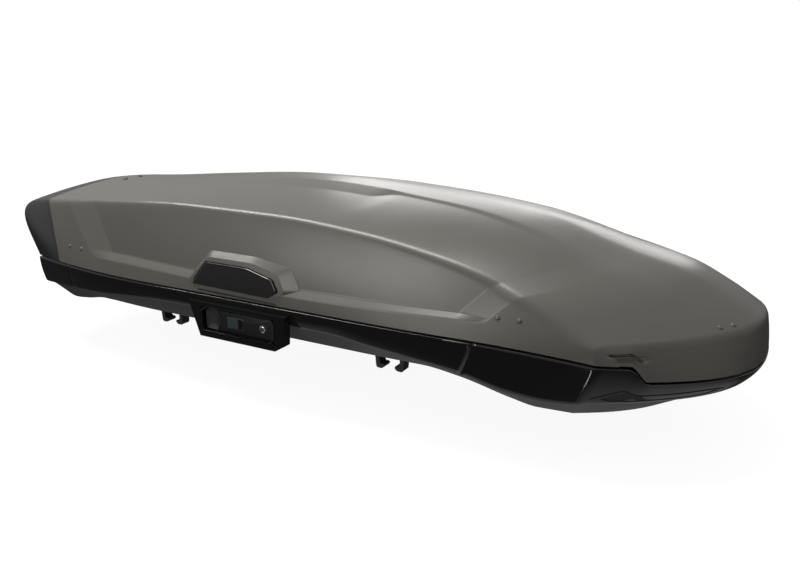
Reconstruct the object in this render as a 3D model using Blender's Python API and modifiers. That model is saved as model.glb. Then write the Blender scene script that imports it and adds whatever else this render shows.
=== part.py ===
"""Roof cargo box: a clamshell lid on a base tub, opening from either side.

Frame: metres, +X to the nose, +Y to the left, +Z up. The origin is under the middle of the whole box, on
the plane that the clamp claws reach. The numbers below are measured from the middle of the base.
Run it with Blender: it fills one collection with the box's parts.
"""
import math

import bpy
import bmesh
from mathutils import Matrix, Vector

# ---- Driving dimensions --------------------------------------------------------------------------
BASE_MIDDLE_X = 0.043      # the base's middle ahead of the origin, as the rear cap reaches out behind it
HALF_WIDTH = 0.42          # half width at the seam, at the widest place
SEAM_Z = 0.157             # height of the seam between lid and base along the sides
LID_EDGE = 0.002           # lid's lower edge, above the seam
RIM_EDGE = -0.0035         # top edge of the base trims, below the seam
WALL = 0.003               # wall thickness of the moulded shells
CAP_GAP = 0.0050           # gap between the lid and the rear cap
GAP = 0.0003               # gap between pieces that touch

FRONT_TAPER, FRONT_TAPER_X = 0.10, 0.17      # plan taper ahead of this station
REAR_TAPER, REAR_TAPER_X = 0.204, -0.50      # plan taper behind this station
NOSE_CORNER_X = 0.775                        # where the side turns into the nose, at the seam
NOSE_X = 1.087                               # foremost point, at the seam
NOSE_POWER = 2.69                            # roundness of the nose in plan, at the seam
REAR_CORNER_X = -1.062                       # where the side turns into the rear, at the seam
REAR_X = -1.088                              # rearmost point, at the seam
SIDE_DROP, SIDE_DROP_X = 0.015, 0.45         # the seam falls towards the nose corner
NOSE_DROP = 0.0515                           # depth of the seam across the nose

TUMBLEHOME = 0.287                           # how far the side wall leans in, per metre of height
CREASE_REAR_X = -1.045                       # rear end of the shoulder crease
CREASE_NOSE_X = 0.763                        # front end of the shoulder crease
NOSE_CREASE_X = 1.075                        # foremost point of the crease across the nose
NOSE_CREASE_POWER = 2.05
CROWN_POWER = 1.7                            # shape of the lid's cross-section
WALL_BULGE = 0.008
SKIRT_BULGE = 0.003
LID_GRID = (26, 12)                          # stations along and across the lid
CAP_SPLIT_X = -0.931                         # where the rear cap ends along the seam
CAP_OVERHANG = 0.190                         # reach of the cap's section behind the lid's edge

# Heights above the seam, as (station, height).
CREASE = ((-1.05, 0.178), (-0.78, 0.204), (-0.40, 0.226), (-0.10, 0.2245), (0.15, 0.207),
          (0.39, 0.167), (0.53, 0.127), (0.775, 0.020))
RIDGE = ((-1.06, 0.210), (-0.84, 0.2195), (-0.38, 0.265), (-0.10, 0.2746), (0.15, 0.262), (0.35, 0.250),
         (0.55, 0.226), (0.75, 0.176), (0.90, 0.1385), (1.00, 0.089), (1.075, 0.041))
SKIRT = ((-1.045, -0.085), (-0.90, -0.076), (-0.715, -0.065), (-0.54, -0.053), (-0.38, -0.048),
         (0.10, -0.049), (0.215, -0.060), (0.33, -0.071), (0.448, -0.084), (0.58, -0.114), (0.66, -0.121),
         (0.775, -0.112))
KEEL = ((-1.045, -0.105), (-0.944, -0.128), (-0.86, -0.118), (-0.769, -0.102), (-0.68, -0.100),
        (0.35, -0.100), (0.45, -0.112), (0.579, -0.143), (0.64, -0.154), (0.775, -0.154))
FLOOR_Z = -0.100                             # underside of the tub between the clamps

RECESS_DEPTH = 0.012                         # side panels sit this far in
RECESS_TOP = (-0.869, 0.556)                 # their ends at the crease, and near the seam
RECESS_LOW = (-0.676, 0.487)
RECESS_RAMP = 0.045                          # half width of the ramp at each end
LEDGE_Z, LEDGE_RAMP = 0.045, 0.010
BADGE_LEAN = 0.45                            # slope of the side panel that carries the badge plates
BADGE_Y = 0.4325                             # where the plate's middle would meet the seam's height

HINGE_Y, HINGE_Z = 0.403, 0.030              # hinge pin axes, above the seam
PIN_HALF = 0.003                             # half the side of the square hinge pins
RIGHT_PIN_X = (-0.478, 0.182)
LEFT_PIN_X = (-0.500, 0.204)
TAB_X = (-0.40, -0.16, 0.06)                 # rear ends of the keeper tabs on each hinge rail
TAB_LENGTH = 0.045
TAB_REACH = 0.380                            # the tabs point inwards from the pin to here
LATCH_Y = 0.384                              # latch bar, inside the swing of the lid's lower edge
LATCH_HALF = 0.0025                          # half the thickness of the latch bar

CLAMP_X = {"front": 0.230, "rear": -0.530}   # middle of each roof bar
CLAMP_Y = 0.300
CLAW_OFFSET = 0.030                          # from the bar's middle to a closed claw
STRUT_X = {"front": 0.196, "rear": -0.494}   # the strut that lifts the right side
STRUT_PITCH = 0.022                          # the crossing strut lies this far from it
STRUT_FOOT = (0.370, -0.025)                 # lower pivot: distance from the middle, height
HOUSING_X = (-0.335, -0.010)                 # lock housing, at its top
HOUSING_Z = (-0.117, -0.020)

MATERIALS = {
    "lid": ((0.085, 0.079, 0.071), 0.38, 0.25),
    "cap": ((0.012, 0.012, 0.013), 0.30, 0.0),
    "gloss": ((0.008, 0.008, 0.009), 0.12, 0.0),
    "tub": ((0.018, 0.018, 0.019), 0.60, 0.0),
    "dark": ((0.025, 0.025, 0.027), 0.50, 0.0),
    "rubber": ((0.010, 0.010, 0.010), 0.80, 0.0),
    "felt": ((0.045, 0.046, 0.048), 0.95, 0.0),
    "steel": ((0.55, 0.56, 0.57), 0.30, 1.0),
    "lens": ((0.10, 0.13, 0.16), 0.10, 0.0),
    "knob": ((0.30, 0.31, 0.32), 0.45, 0.0),
}


# ---- Blender helpers -----------------------------------------------------------------------------
def new_collection(name):
    collection = bpy.data.collections.new(name)
    bpy.context.scene.collection.children.link(collection)
    return collection


def make_materials():
    made = {}
    for name, (colour, roughness, metallic) in MATERIALS.items():
        material = bpy.data.materials.new(name)
        material.use_nodes = True
        shader = material.node_tree.nodes["Principled BSDF"]
        shader.inputs["Base Color"].default_value = (*colour, 1.0)
        shader.inputs["Roughness"].default_value = roughness
        shader.inputs["Metallic"].default_value = metallic
        made[name] = material
    return made


def add_object(name, data, material, collection=None):
    piece = bpy.data.objects.new(name, data)
    (collection or PARTS).objects.link(piece)
    data.materials.append(PAINT[material])
    return piece


def mesh_object(name, points, faces, material):
    mesh = bpy.data.meshes.new(name)
    mesh.from_pydata([tuple(point) for point in points], [], faces)
    mesh.update()
    mesh.shade_smooth()
    mesh.set_sharp_from_angle(angle=math.radians(35))
    return add_object(name, mesh, material)


def solidify(piece, thickness=WALL):
    modifier = piece.modifiers.new("wall", "SOLIDIFY")
    modifier.thickness = thickness
    modifier.offset = -1.0
    modifier.use_even_offset = True
    return piece


def box(name, low, high, material, bevel=0.0, collection=None):
    mesh = bpy.data.meshes.new(name)
    shape = bmesh.new()
    bmesh.ops.create_cube(shape, size=1.0)
    size = Vector(high) - Vector(low)
    bmesh.ops.scale(shape, vec=size, verts=shape.verts)
    shape.to_mesh(mesh)
    shape.free()
    piece = add_object(name, mesh, material, collection)
    piece.location = (Vector(low) + Vector(high)) / 2
    if bevel:
        modifier = piece.modifiers.new("edges", "BEVEL")
        modifier.width = bevel
        modifier.segments = 2
    return piece


def cylinder(name, centre, axis, radius, depth, material, segments=20):
    mesh = bpy.data.meshes.new(name)
    shape = bmesh.new()
    bmesh.ops.create_cone(shape, cap_ends=True, segments=segments, radius1=radius, radius2=radius, depth=depth)
    shape.to_mesh(mesh)
    shape.free()
    mesh.shade_smooth()
    mesh.set_sharp_from_angle(angle=math.radians(35))
    piece = add_object(name, mesh, material)
    turn = Vector((0, 0, 1)).rotation_difference(Vector(axis)).to_matrix().to_4x4()
    piece.matrix_world = Matrix.Translation(centre) @ turn
    return piece


def outline(name, points, middle, thickness, plane, material):
    """A flat outline, extruded. plane is XZ, YZ or XY, and middle is its place along the third axis."""
    curve = bpy.data.curves.new(name, "CURVE")
    curve.dimensions = "2D"
    curve.fill_mode = "BOTH"
    curve.extrude = thickness / 2
    spline = curve.splines.new("POLY")
    spline.points.add(len(points) - 1)
    for point, (a, b) in zip(spline.points, points):
        point.co = (a, b, 0.0, 1.0)
    spline.use_cyclic_u = True
    piece = add_object(name, curve, material)
    frames = {"XZ": (Matrix.Rotation(math.pi / 2, 4, "X"), Vector((0, middle, 0))),
              "YZ": (Matrix(((0, 0, 1, 0), (1, 0, 0, 0), (0, 1, 0, 0), (0, 0, 0, 1))), Vector((middle, 0, 0))),
              "XY": (Matrix.Identity(4), Vector((0, 0, middle)))}
    turn, place = frames[plane]
    piece.matrix_world = Matrix.Translation(place) @ turn
    return piece


def as_mesh(piece):
    """The same piece as a mesh, with its caps welded, so that a Boolean can read it."""
    graph = bpy.context.evaluated_depsgraph_get()
    mesh = bpy.data.meshes.new_from_object(piece.evaluated_get(graph))
    shape = bmesh.new()
    shape.from_mesh(mesh)
    bmesh.ops.remove_doubles(shape, verts=shape.verts, dist=0.00001)
    bmesh.ops.recalc_face_normals(shape, faces=shape.faces)
    shape.to_mesh(mesh)
    shape.free()
    name, place, homes = piece.name, piece.matrix_world.copy(), list(piece.users_collection)
    bpy.data.objects.remove(piece)
    copy = bpy.data.objects.new(name, mesh)
    copy.name = name
    homes[0].objects.link(copy)
    copy.matrix_world = place
    return copy


def boolean(piece, other, operation):
    modifier = piece.modifiers.new(operation.lower(), "BOOLEAN")
    modifier.operation = operation
    modifier.solver = "EXACT"
    modifier.object = other
    other.hide_render = True
    other.display_type = "WIRE"
    return piece


def turned(name, profile, start, direction, material, segments=12):
    """A turned piece: (radius, distance) points from its far end to its near end, round direction."""
    mesh = bpy.data.meshes.new(name)
    mesh.from_pydata([(radius, 0.0, along) for radius, along in profile], [],
                     [(i, i + 1) for i in range(len(profile) - 1)])
    piece = add_object(name, mesh, material)
    screw = piece.modifiers.new("turn", "SCREW")
    screw.angle = 2 * math.pi
    screw.steps = screw.render_steps = segments
    screw.use_merge_vertices = True
    screw.merge_threshold = 0.0001
    screw.use_smooth_shade = True
    screw.use_normal_flip = True
    turn = Vector((0, 0, 1)).rotation_difference(Vector(direction)).to_matrix().to_4x4()
    piece.matrix_world = Matrix.Translation(start) @ turn
    return piece


# ---- Shape of the box ----------------------------------------------------------------------------
def clamp01(value):
    return min(max(value, 0.0), 1.0)


def smooth(value):
    value = clamp01(value)
    return value * value * (3 - 2 * value)


def mix(a, b, t):
    return a + (b - a) * t


def through(stations, x):
    """Height at x of a smooth curve through the stations."""
    x = min(max(x, stations[0][0]), stations[-1][0])
    last = len(stations) - 2
    i = next((k for k in range(last) if x < stations[k + 1][0]), last)
    slopes = [(b[1] - a[1]) / (b[0] - a[0]) for a, b in zip(stations, stations[1:])]

    def tangent(k):
        if k == 0 or k == len(stations) - 1:
            return slopes[0] if k == 0 else slopes[-1]
        before, after = slopes[k - 1], slopes[k]
        return 2 * before * after / (before + after) if before * after > 0 else 0.0

    width = stations[i + 1][0] - stations[i][0]
    t = (x - stations[i][0]) / width
    rise = (2 * t ** 3 - 3 * t ** 2 + 1) * stations[i][1] + (3 * t ** 2 - 2 * t ** 3) * stations[i + 1][1]
    return rise + width * (t * (1 - t) ** 2 * tangent(i) - t ** 2 * (1 - t) * tangent(i + 1))


def half_width(x):
    taper = FRONT_TAPER * max(0.0, x - FRONT_TAPER_X) ** 2 + REAR_TAPER * max(0.0, REAR_TAPER_X - x) ** 2
    return HALF_WIDTH - taper


def side_seam(x):
    """Height of the seam on the side, from its level stretch to the nose corner."""
    return -SIDE_DROP * clamp01((x - SIDE_DROP_X) / (NOSE_CORNER_X - SIDE_DROP_X)) ** 2


def nose_seam(u):
    return mix(-NOSE_DROP, -SIDE_DROP, smooth((abs(u) - 0.78) / 0.22))


def recess(x, height):
    """How far in the side panel lies at a station and a height above the seam."""
    level = clamp01(height / 0.2)
    rear, front = (mix(low, top, level) for low, top in zip(RECESS_LOW, RECESS_TOP))
    along = smooth((x - rear) / (2 * RECESS_RAMP) + 0.5) * smooth((front - x) / (2 * RECESS_RAMP) + 0.5)
    return RECESS_DEPTH * along * smooth((height - LEDGE_Z) / (2 * LEDGE_RAMP) + 0.5)


def side_crease(x):
    """Distance of the shoulder crease from the middle, and its height."""
    height = through(CREASE, x)
    return half_width(x) - TUMBLEHOME * height - recess(x, height), height


def lid_top(u, v):
    """A point of the lid's top: u runs from the right crease to the left, v from the rear to the nose."""
    x_side = mix(CREASE_REAR_X, CREASE_NOSE_X, v)
    width, height = side_crease(x_side)
    bow = NOSE_CREASE_X - CREASE_NOSE_X
    rear_bow = -0.015 * (1 - v) ** 3
    x = x_side + v ** 3 * bow * (1 - abs(u) ** NOSE_CREASE_POWER) + rear_bow * (1 - u * u)
    ridge = through(RIDGE, x_side + v ** 3 * bow + rear_bow)
    return Vector((x, u * width, height + (ridge - height) * (1 - abs(u) ** CROWN_POWER)))


class Level:
    """One closed line round the box: a plan outline and its height, both relative to the seam."""

    def __init__(self, inset, rear, corner, nose, side_height, nose_height):
        self.inset = inset
        self.rear_x, self.rear_corner = rear
        self.corner = corner
        self.nose_x, self.power = nose
        self.side_height = side_height
        self.nose_height = nose_height

    def point(self, zone, s):
        """zone is side (s from rear to nose), nose or rear (s from -1 at the right to 1 at the left)."""
        if zone == "nose":
            x = self.nose_x - (self.nose_x - self.corner) * abs(s) ** self.power
            return Vector((x, s * (half_width(self.corner) - self.inset), self.nose_height(s)))
        if zone == "rear":
            x = self.rear_x + (self.rear_corner - self.rear_x) * abs(s) ** 6
            y = s * (half_width(self.rear_corner) - self.inset)
            return Vector((x, y, self.side_height(self.rear_corner)))
        side = -1 if zone == "right" else 1
        x = mix(self.rear_corner, self.corner, s)
        return Vector((x, side * (half_width(x) - self.inset), self.side_height(x)))


def level_at(inset, drop):
    """The seam line, moved in and down."""
    return Level(inset, (REAR_X + inset, REAR_CORNER_X + inset), NOSE_CORNER_X - inset / 2,
                 (NOSE_X - inset, NOSE_POWER), lambda x: side_seam(x) + drop, lambda u: nose_seam(u) + drop)


def skirt_level(inset):
    return Level(inset, (REAR_X + 0.005 + inset, REAR_CORNER_X + inset), 0.742 - inset / 2,
                 (NOSE_X - 0.012 - inset, 2.7), lambda x: through(SKIRT, x),
                 lambda u: mix(-0.088, -0.112, abs(u) ** 2))


LID_SEAM = level_at(0.001, LID_EDGE)
RIM = level_at(0.0, RIM_EDGE)
SKIRT_EDGE = skirt_level(0.010)
TUB_TOP = level_at(0.008, -0.010)
TUB_SKIRT = skirt_level(0.020)
TUB_GRID = (26, 12)         # stations along and across the tub
TUB_EDGE = Level(0.050, (-1.015, -0.995), 0.720, (0.955, 2.5), lambda x: through(KEEL, x),
                 lambda u: mix(-0.128, -0.154, smooth(abs(u) * 1.1)))


def sweep(start, stop, count):
    return [mix(start, stop, k / count) for k in range(count + 1)]


def raise_seam(points):
    """Points given relative to the seam, in the box's frame."""
    return [point + Vector((0, 0, SEAM_Z)) for point in points]


def grid_faces(rows, columns, flip=False):
    faces = []
    for i in range(rows - 1):
        for j in range(columns - 1):
            face = (i * columns + j, i * columns + j + 1, (i + 1) * columns + j + 1, (i + 1) * columns + j)
            faces.append(face[::-1] if flip else face)
    return faces


# ---- Lid -----------------------------------------------------------------------------------------
def wall_point(seam, crease, h):
    """A point of the lid's wall between the seam and the crease, slightly bowed outwards."""
    outward = Vector((seam.x - crease.x, seam.y - crease.y, 0.0))
    point = seam.lerp(crease, h)
    if outward.length > 1e-6:
        point += outward.normalized() * WALL_BULGE * 4 * h * (1 - h) * min(1.0, crease.z / 0.2)
    return point


def cap_point(q, h):
    """A point of the rear cap: q runs from the right (-1) round the rear to the left (1), h upwards."""
    side = 1 if q > 0 else -1
    a = abs(q)
    corner_q = 0.62
    if a > corner_q:
        x = mix(REAR_CORNER_X, CAP_SPLIT_X, (a - corner_q) / (1 - corner_q))
        seam = Vector((x, side * (half_width(x) - 0.001), LID_EDGE))
        u = mix(0.92, 1.0, (a - corner_q) / (1 - corner_q))
    else:
        seam = LID_SEAM.point("rear", side * a / corner_q)
        u = 0.92 * a / corner_q
    top = lid_top(side * u, 0.0) - Vector((CAP_GAP, 0, 0))
    wall = smooth((a - 0.70) / 0.30)
    corner = smooth(a / corner_q)
    low_reach = Vector((mix(-0.070, -0.055, corner), -side * 0.004 * corner, top.z * 0.55))
    top_reach = Vector((-CAP_OVERHANG, side * 0.030 * corner, -0.014))
    lower = (seam + low_reach).lerp(seam.lerp(top, 1 / 3), wall)
    upper = (top + top_reach).lerp(seam.lerp(top, 2 / 3), wall)
    outward = Vector((seam.x - top.x, seam.y - top.y, 0.0)).normalized() * wall
    bulge = outward * WALL_BULGE * min(1.0, top.z / 0.2) * 4 / 3
    lower += bulge
    upper += bulge
    k = 1 - h
    return k ** 3 * seam + 3 * k * k * h * lower + 3 * k * h * h * upper + h ** 3 * top


def make_lid_shell():
    along, across = LID_GRID
    points = [lid_top(u, v) for v in sweep(0, 1, along) for u in sweep(-1, 1, across)]
    columns = across + 1
    faces = grid_faces(along + 1, columns, flip=True)
    right = [j * columns for j in range(along + 1)]
    nose = [along * columns + i for i in range(1, columns)]
    left = [j * columns + across for j in range(along - 1, -1, -1)]
    rim = [("right", j) for j in range(along + 1)] + [("nose", i) for i in range(1, columns)]
    rim += [("left", j) for j in range(along - 1, -1, -1)]
    above = right + nose + left
    seam_points = []
    for zone, k in rim:
        if zone == "nose":
            seam_points.append(LID_SEAM.point("nose", mix(-1, 1, k / across)))
            continue
        v = k / along
        x = mix(CREASE_REAR_X, LID_SEAM.corner, v) + (CAP_SPLIT_X + CAP_GAP - CREASE_REAR_X) * (1 - v) ** 10
        side = -1 if zone == "right" else 1
        seam_points.append(Vector((x, side * (half_width(x) - 0.001), side_seam(x) + LID_EDGE)))
    creases = [points[k].copy() for k in above]
    for h in (0.72, 0.38, 0.16, 0.0):
        first = len(points)
        for (zone, _), seam, crease in zip(rim, seam_points, creases):
            point = wall_point(seam, crease, h)
            if zone != "nose":
                deep = recess(point.x, point.z) - h * recess(crease.x, crease.z)
                point.y -= math.copysign(deep, point.y)
            points.append(point)
        below = list(range(first, len(points)))
        for k in range(len(above) - 1):
            faces.append((above[k], above[k + 1], below[k + 1], below[k])[::-1])
        above = below
    return solidify(mesh_object("lid_shell", raise_seam(points), faces, "lid"))


def make_rear_cap():
    around, up = 24, 6
    points = [cap_point(q, h) for h in sweep(0, 1, up) for q in sweep(-1, 1, around)]
    faces = grid_faces(up + 1, around + 1, flip=True)
    return solidify(mesh_object("rear_cap", raise_seam(points), faces, "cap"))


def make_badge_plates():
    """A four-sided plate on each side panel, over the lock housing."""
    corners = ((-0.336, 0.022), (-0.293, 0.086), (-0.153, 0.086), (-0.066, 0.066), (-0.046, 0.038), (-0.074, 0.018))
    for side, name in ((-1, "badge_plate_right"), (1, "badge_plate_left")):
        lean = math.atan(BADGE_LEAN)
        piece = outline(name, [(x, z / math.cos(lean)) for x, z in corners], 0.0, 0.004, "XZ", "gloss")
        shift = Matrix.Translation((0, side * BADGE_Y, SEAM_Z))
        piece.matrix_world = shift @ Matrix.Rotation(side * lean, 4, "X") @ piece.matrix_world


def make_lid_beams():
    """Arched stiffeners under the lid's roof, over the lifters."""
    for end, x in (("front", STRUT_X["front"] + 0.011), ("rear", STRUT_X["rear"] - 0.011)):
        width, height = side_crease(x)
        ridge = through(RIDGE, x + 0.05 if end == "front" else x)
        upper = []
        for y in sweep(-0.30, 0.30, 12):
            u = y / width
            upper.append((y, height + (ridge - height) * (1 - abs(u) ** CROWN_POWER) - 0.014))
        lower = [(y, z - 0.012) for y, z in reversed(upper)]
        outline("lid_beam_" + end, [(y, z + SEAM_Z) for y, z in upper + lower], x, 0.036, "YZ", "dark")


# ---- Base ----------------------------------------------------------------------------------------
def loop(level, along, across):
    """Points round a level: right side, nose, left side, rear, with each corner once."""
    points = [level.point("right", s) for s in sweep(0, 1, along)]
    points += [level.point("nose", s) for s in sweep(-1, 1, across)[1:]]
    points += [level.point("left", s) for s in sweep(1, 0, along)[1:]]
    points += [level.point("rear", s) for s in sweep(1, -1, across)[1:-1]]
    return points


def make_base_shell():
    along, across = TUB_GRID
    rows = [loop(level, along, across) for level in (TUB_TOP, TUB_SKIRT, TUB_EDGE)]
    count = len(rows[0])
    points = [point for row in rows for point in row]
    faces = []
    for i in range(len(rows) - 1):
        for k in range(count):
            nxt = (k + 1) % count
            faces.append((i * count + k, (i + 1) * count + k, (i + 1) * count + nxt, i * count + nxt))
    edge = 2 * count
    table = {}
    for j in range(along + 1):
        table[(j, 0)] = edge + j
        table[(j, across)] = edge + 2 * along + across - j
    for i in range(1, across):
        table[(along, i)] = edge + along + i
        table[(0, i)] = edge + count - i
    for j in range(1, along):
        v = j / along
        for i in range(1, across):
            u = mix(-1, 1, i / across)
            side = rows[2][j]
            bow = TUB_EDGE.nose_x - TUB_EDGE.corner
            near_nose = smooth((v - 0.84) / 0.16)
            x = side.x + near_nose * bow * (1 - abs(u) ** TUB_EDGE.power)
            rise = near_nose * (TUB_EDGE.nose_height(u) - TUB_EDGE.nose_height(1))
            table[(j, i)] = len(points)
            points.append(Vector((x, u * abs(side.y), side.z + rise)))
    for j in range(along):
        for i in range(across):
            faces.append((table[(j, i)], table[(j, i + 1)], table[(j + 1, i + 1)], table[(j + 1, i)]))
    return solidify(mesh_object("base_shell", raise_seam(points), faces, "tub"))


def skirt_strip(name, stops):
    """A gloss trim along part of the base: stops are (zone, s) columns, right side to left round the nose."""
    rows = []
    for h in (0.0, 0.5, 1.0):
        row = []
        for zone, s in stops:
            top, low = RIM.point(zone, s), SKIRT_EDGE.point(zone, s)
            outward = Vector((top.x - low.x, top.y - low.y, 0)).normalized()
            row.append(top.lerp(low, h) + outward * SKIRT_BULGE * 4 * h * (1 - h))
        rows.append(row)
    points = [point for row in rows for point in row]
    faces = grid_faces(len(rows), len(stops), flip=True)
    return solidify(mesh_object(name, raise_seam(points), faces, "gloss"))


def make_trims():
    """Gloss skirts: one along each side, one round the nose, one round the tail."""
    tail_s, nose_s = 0.1000, 0.8492
    split = 0.0007
    sides = {}
    for side in ("right", "left"):
        stops = [(side, s) for s in sweep(tail_s + split, nose_s - split, 20)]
        sides[side] = skirt_strip("base_trim_" + side, stops if side == "right" else stops[::-1])
    nose = [("right", s) for s in sweep(nose_s, 1, 5)] + [("nose", s) for s in sweep(-1, 1, LID_GRID[1])[1:]]
    nose += [("left", s) for s in sweep(1, nose_s, 5)[1:]]
    skirt_strip("nose_trim", nose)
    tail = [("left", s) for s in sweep(tail_s, 0, 4)] + [("rear", s) for s in sweep(1, -1, 12)[1:]]
    tail += [("right", s) for s in sweep(0, tail_s, 4)[1:]]
    skirt_strip("tail_trim", tail)
    for side, piece in sides.items():
        sign = -1 if side == "right" else 1
        low, high = sorted((sign * 0.380, sign * 0.450))
        clear = 0.0008
        notch = box("notch_" + side, (HOUSING_X[0] - clear, low, SEAM_Z - 0.2),
                    (HOUSING_X[1] + clear, high, SEAM_Z + HOUSING_Z[1] + clear), "dark", collection=CUTTERS)
        boolean(piece, notch, "DIFFERENCE")


def make_seal():
    """The rubber bead on the tub's rim."""
    bead = level_at(0.0095, -0.0055)
    curve = bpy.data.curves.new("rim_seal", "CURVE")
    curve.dimensions = "3D"
    curve.bevel_depth = 0.002
    curve.bevel_resolution = 1
    points = raise_seam(loop(bead, *TUB_GRID))
    spline = curve.splines.new("POLY")
    spline.points.add(len(points) - 1)
    for knot, point in zip(spline.points, points):
        knot.co = (*point, 1.0)
    spline.use_cyclic_u = True
    return add_object("rim_seal", curve, "rubber")


def make_floor():
    inner = SEAM_Z + FLOOR_Z + WALL
    box("floor_liner", (-0.66, -0.250, inner + GAP), (0.34, 0.250, inner + 0.004), "felt", bevel=0.001)
    for side, sign in (("right", -1), ("left", 1)):
        low, high = sorted((sign * 0.262, sign * 0.338))
        box("floor_rail_" + side, (-0.660, low, inner + GAP), (0.340, high, inner + 0.008), "dark", bevel=0.002)


# ---- Clamps --------------------------------------------------------------------------------------
def make_clamp(end, side):
    """Housing and knob inside the box, foot and two claws under it."""
    x = CLAMP_X[end]
    y = CLAMP_Y * (-1 if side == "right" else 1)
    tag = end + "_" + side
    top = SEAM_Z + FLOOR_Z + WALL + 0.008
    under = SEAM_Z + FLOOR_Z - GAP
    box("clamp_housing_" + tag, (x - 0.062, y - 0.034, top + GAP), (x + 0.062, y + 0.034, top + 0.022), "dark",
        bevel=0.005)
    knob = [(0.0, 0.018), (0.010, 0.018), (0.012, 0.016), (0.012, 0.008), (0.026, 0.006), (0.028, 0.004),
            (0.028, 0.0), (0.0, 0.0)]
    turned("clamp_knob_" + tag, knob, (x, y, top + 0.022 + GAP), (0, 0, 1), "knob", segments=20)
    box("clamp_foot_" + tag, (x - 0.018, y - 0.032, under - 0.009), (x + 0.018, y + 0.032, under), "rubber")
    for name, way in (("a", -1), ("b", 1)):
        profile = [(0.0, under), (0.016, under), (0.016, under - 0.012), (0.012, under - 0.030),
                   (0.010, 0.004), (0.006, 0.0), (-0.007, 0.0), (-0.014, 0.005), (-0.015, 0.011),
                   (-0.010, 0.013), (-0.004, 0.012), (0.0, 0.020)]
        points = [(x + way * (CLAW_OFFSET + a), z) for a, z in profile]
        outline("claw_" + tag + "_" + name, points if way > 0 else points[::-1], y, 0.030, "XZ", "dark")


# ---- Lifters -------------------------------------------------------------------------------------
def make_strut(end, lifts):
    """A telescopic strut: its tube turns on the base, its rod reaches the far hinge pin's axis."""
    sign = 1 if lifts == "right" else -1
    step = STRUT_PITCH * (0 if lifts == "right" else 1)
    x = STRUT_X[end] + (step if end == "front" else -step)
    foot = Vector((x, sign * STRUT_FOOT[0], SEAM_Z + STRUT_FOOT[1]))
    head = Vector((x, -sign * HINGE_Y, SEAM_Z + HINGE_Z))
    length = (head - foot).length
    direction = (head - foot).normalized()
    tag = end + "_" + lifts
    ball = [(0.009 * math.sin(a), -0.009 * math.cos(a)) for a in sweep(0, math.radians(140), 5)]
    tube_end = 0.46
    tube = [(0.0055, 0.05), (0.0055, tube_end), (0.008, tube_end)] + [(r, z) for r, z in reversed(ball)]
    tube = [(0.0, 0.05)] + tube
    turned("strut_tube_" + tag, tube, foot, direction, "dark")
    tip = [(0.004 * math.sin(a), length - 0.004 * math.cos(a)) for a in sweep(math.pi, math.radians(55), 5)]
    rod = tip + [(0.0032, 0.09), (0.0, 0.09)]
    turned("strut_rod_" + tag, rod, foot, direction, "steel")
    ear, thick, depth = 0.0098, 0.003, 0.024
    reach, web, wall = STRUT_FOOT[0] - 0.008, STRUT_FOOT[0] + 0.012, STRUT_FOOT[0] + 0.025
    shape = [(-ear - thick, reach), (-ear, reach), (-ear, web), (ear, web), (ear, reach), (ear + thick, reach),
             (ear + thick, wall), (-ear - thick, wall)]
    points = [(x + a, sign * b) for a, b in shape]
    outline("strut_bracket_" + tag, points if sign > 0 else points[::-1], foot.z, depth, "XY", "dark")


# ---- Hinge rails and latches ---------------------------------------------------------------------
def make_hinge_rail(name, sign, span):
    """A square hinge pin with keeper tabs that point inwards, where the lid's wall doesn't swing."""
    half = PIN_HALF
    inner = HINGE_Y - half
    points = [(span[0], HINGE_Y + half), (span[0], inner)]
    for tab in TAB_X:
        points += [(tab, inner), (tab, TAB_REACH), (tab + TAB_LENGTH, TAB_REACH), (tab + TAB_LENGTH, inner)]
    points += [(span[1], inner), (span[1], HINGE_Y + half)]
    points = [(x, sign * y) for x, y in points]
    outline(name, points if sign > 0 else points[::-1], SEAM_Z + HINGE_Z, 2 * half, "XY", "steel")


def make_lock(side):
    """Housing, slider with its window and key cylinder, and the latch bar that the slider moves."""
    sign = -1 if side == "right" else 1
    x0, x1 = HOUSING_X
    low, high = (SEAM_Z + z for z in HOUSING_Z)
    front, back = 0.436, 0.4100
    shape = [(x0, high), (x0 + 0.034, low), (x1 - 0.034, low), (x1 - 0.004, low + 0.018), (x1, high)]
    housing = outline("lock_housing_" + side, shape, sign * (front + back) / 2, front - back, "XZ", "gloss")
    housing = as_mesh(housing)
    housing.data.materials.clear()
    housing.data.materials.append(PAINT["gloss"])
    y_low, y_high = sorted((sign * 0.4165, sign * 0.445))
    hollow = box("hollow_" + side, (-0.291, y_low, SEAM_Z - 0.098), (-0.046, y_high, SEAM_Z - 0.030), "dark",
                 collection=CUTTERS)
    boolean(housing, hollow, "DIFFERENCE")
    y_low, y_high = sorted((sign * 0.4180, sign * 0.4300))
    box("slider_" + side, (-0.242, y_low, SEAM_Z - 0.092), (-0.052, y_high, SEAM_Z - 0.036), "gloss", bevel=0.003)
    y_low, y_high = sorted((sign * (0.4300 + GAP), sign * 0.4318))
    box("lens_" + side, (-0.205, y_low, SEAM_Z - 0.080), (-0.150, y_high, SEAM_Z - 0.048), "lens")
    cylinder("key_cylinder_" + side, (-0.085, sign * 0.4329, SEAM_Z - 0.064), (0, 1, 0), 0.009, 0.0052, "steel")
    make_latch_bar("latch_bar_" + side, sign)


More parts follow.
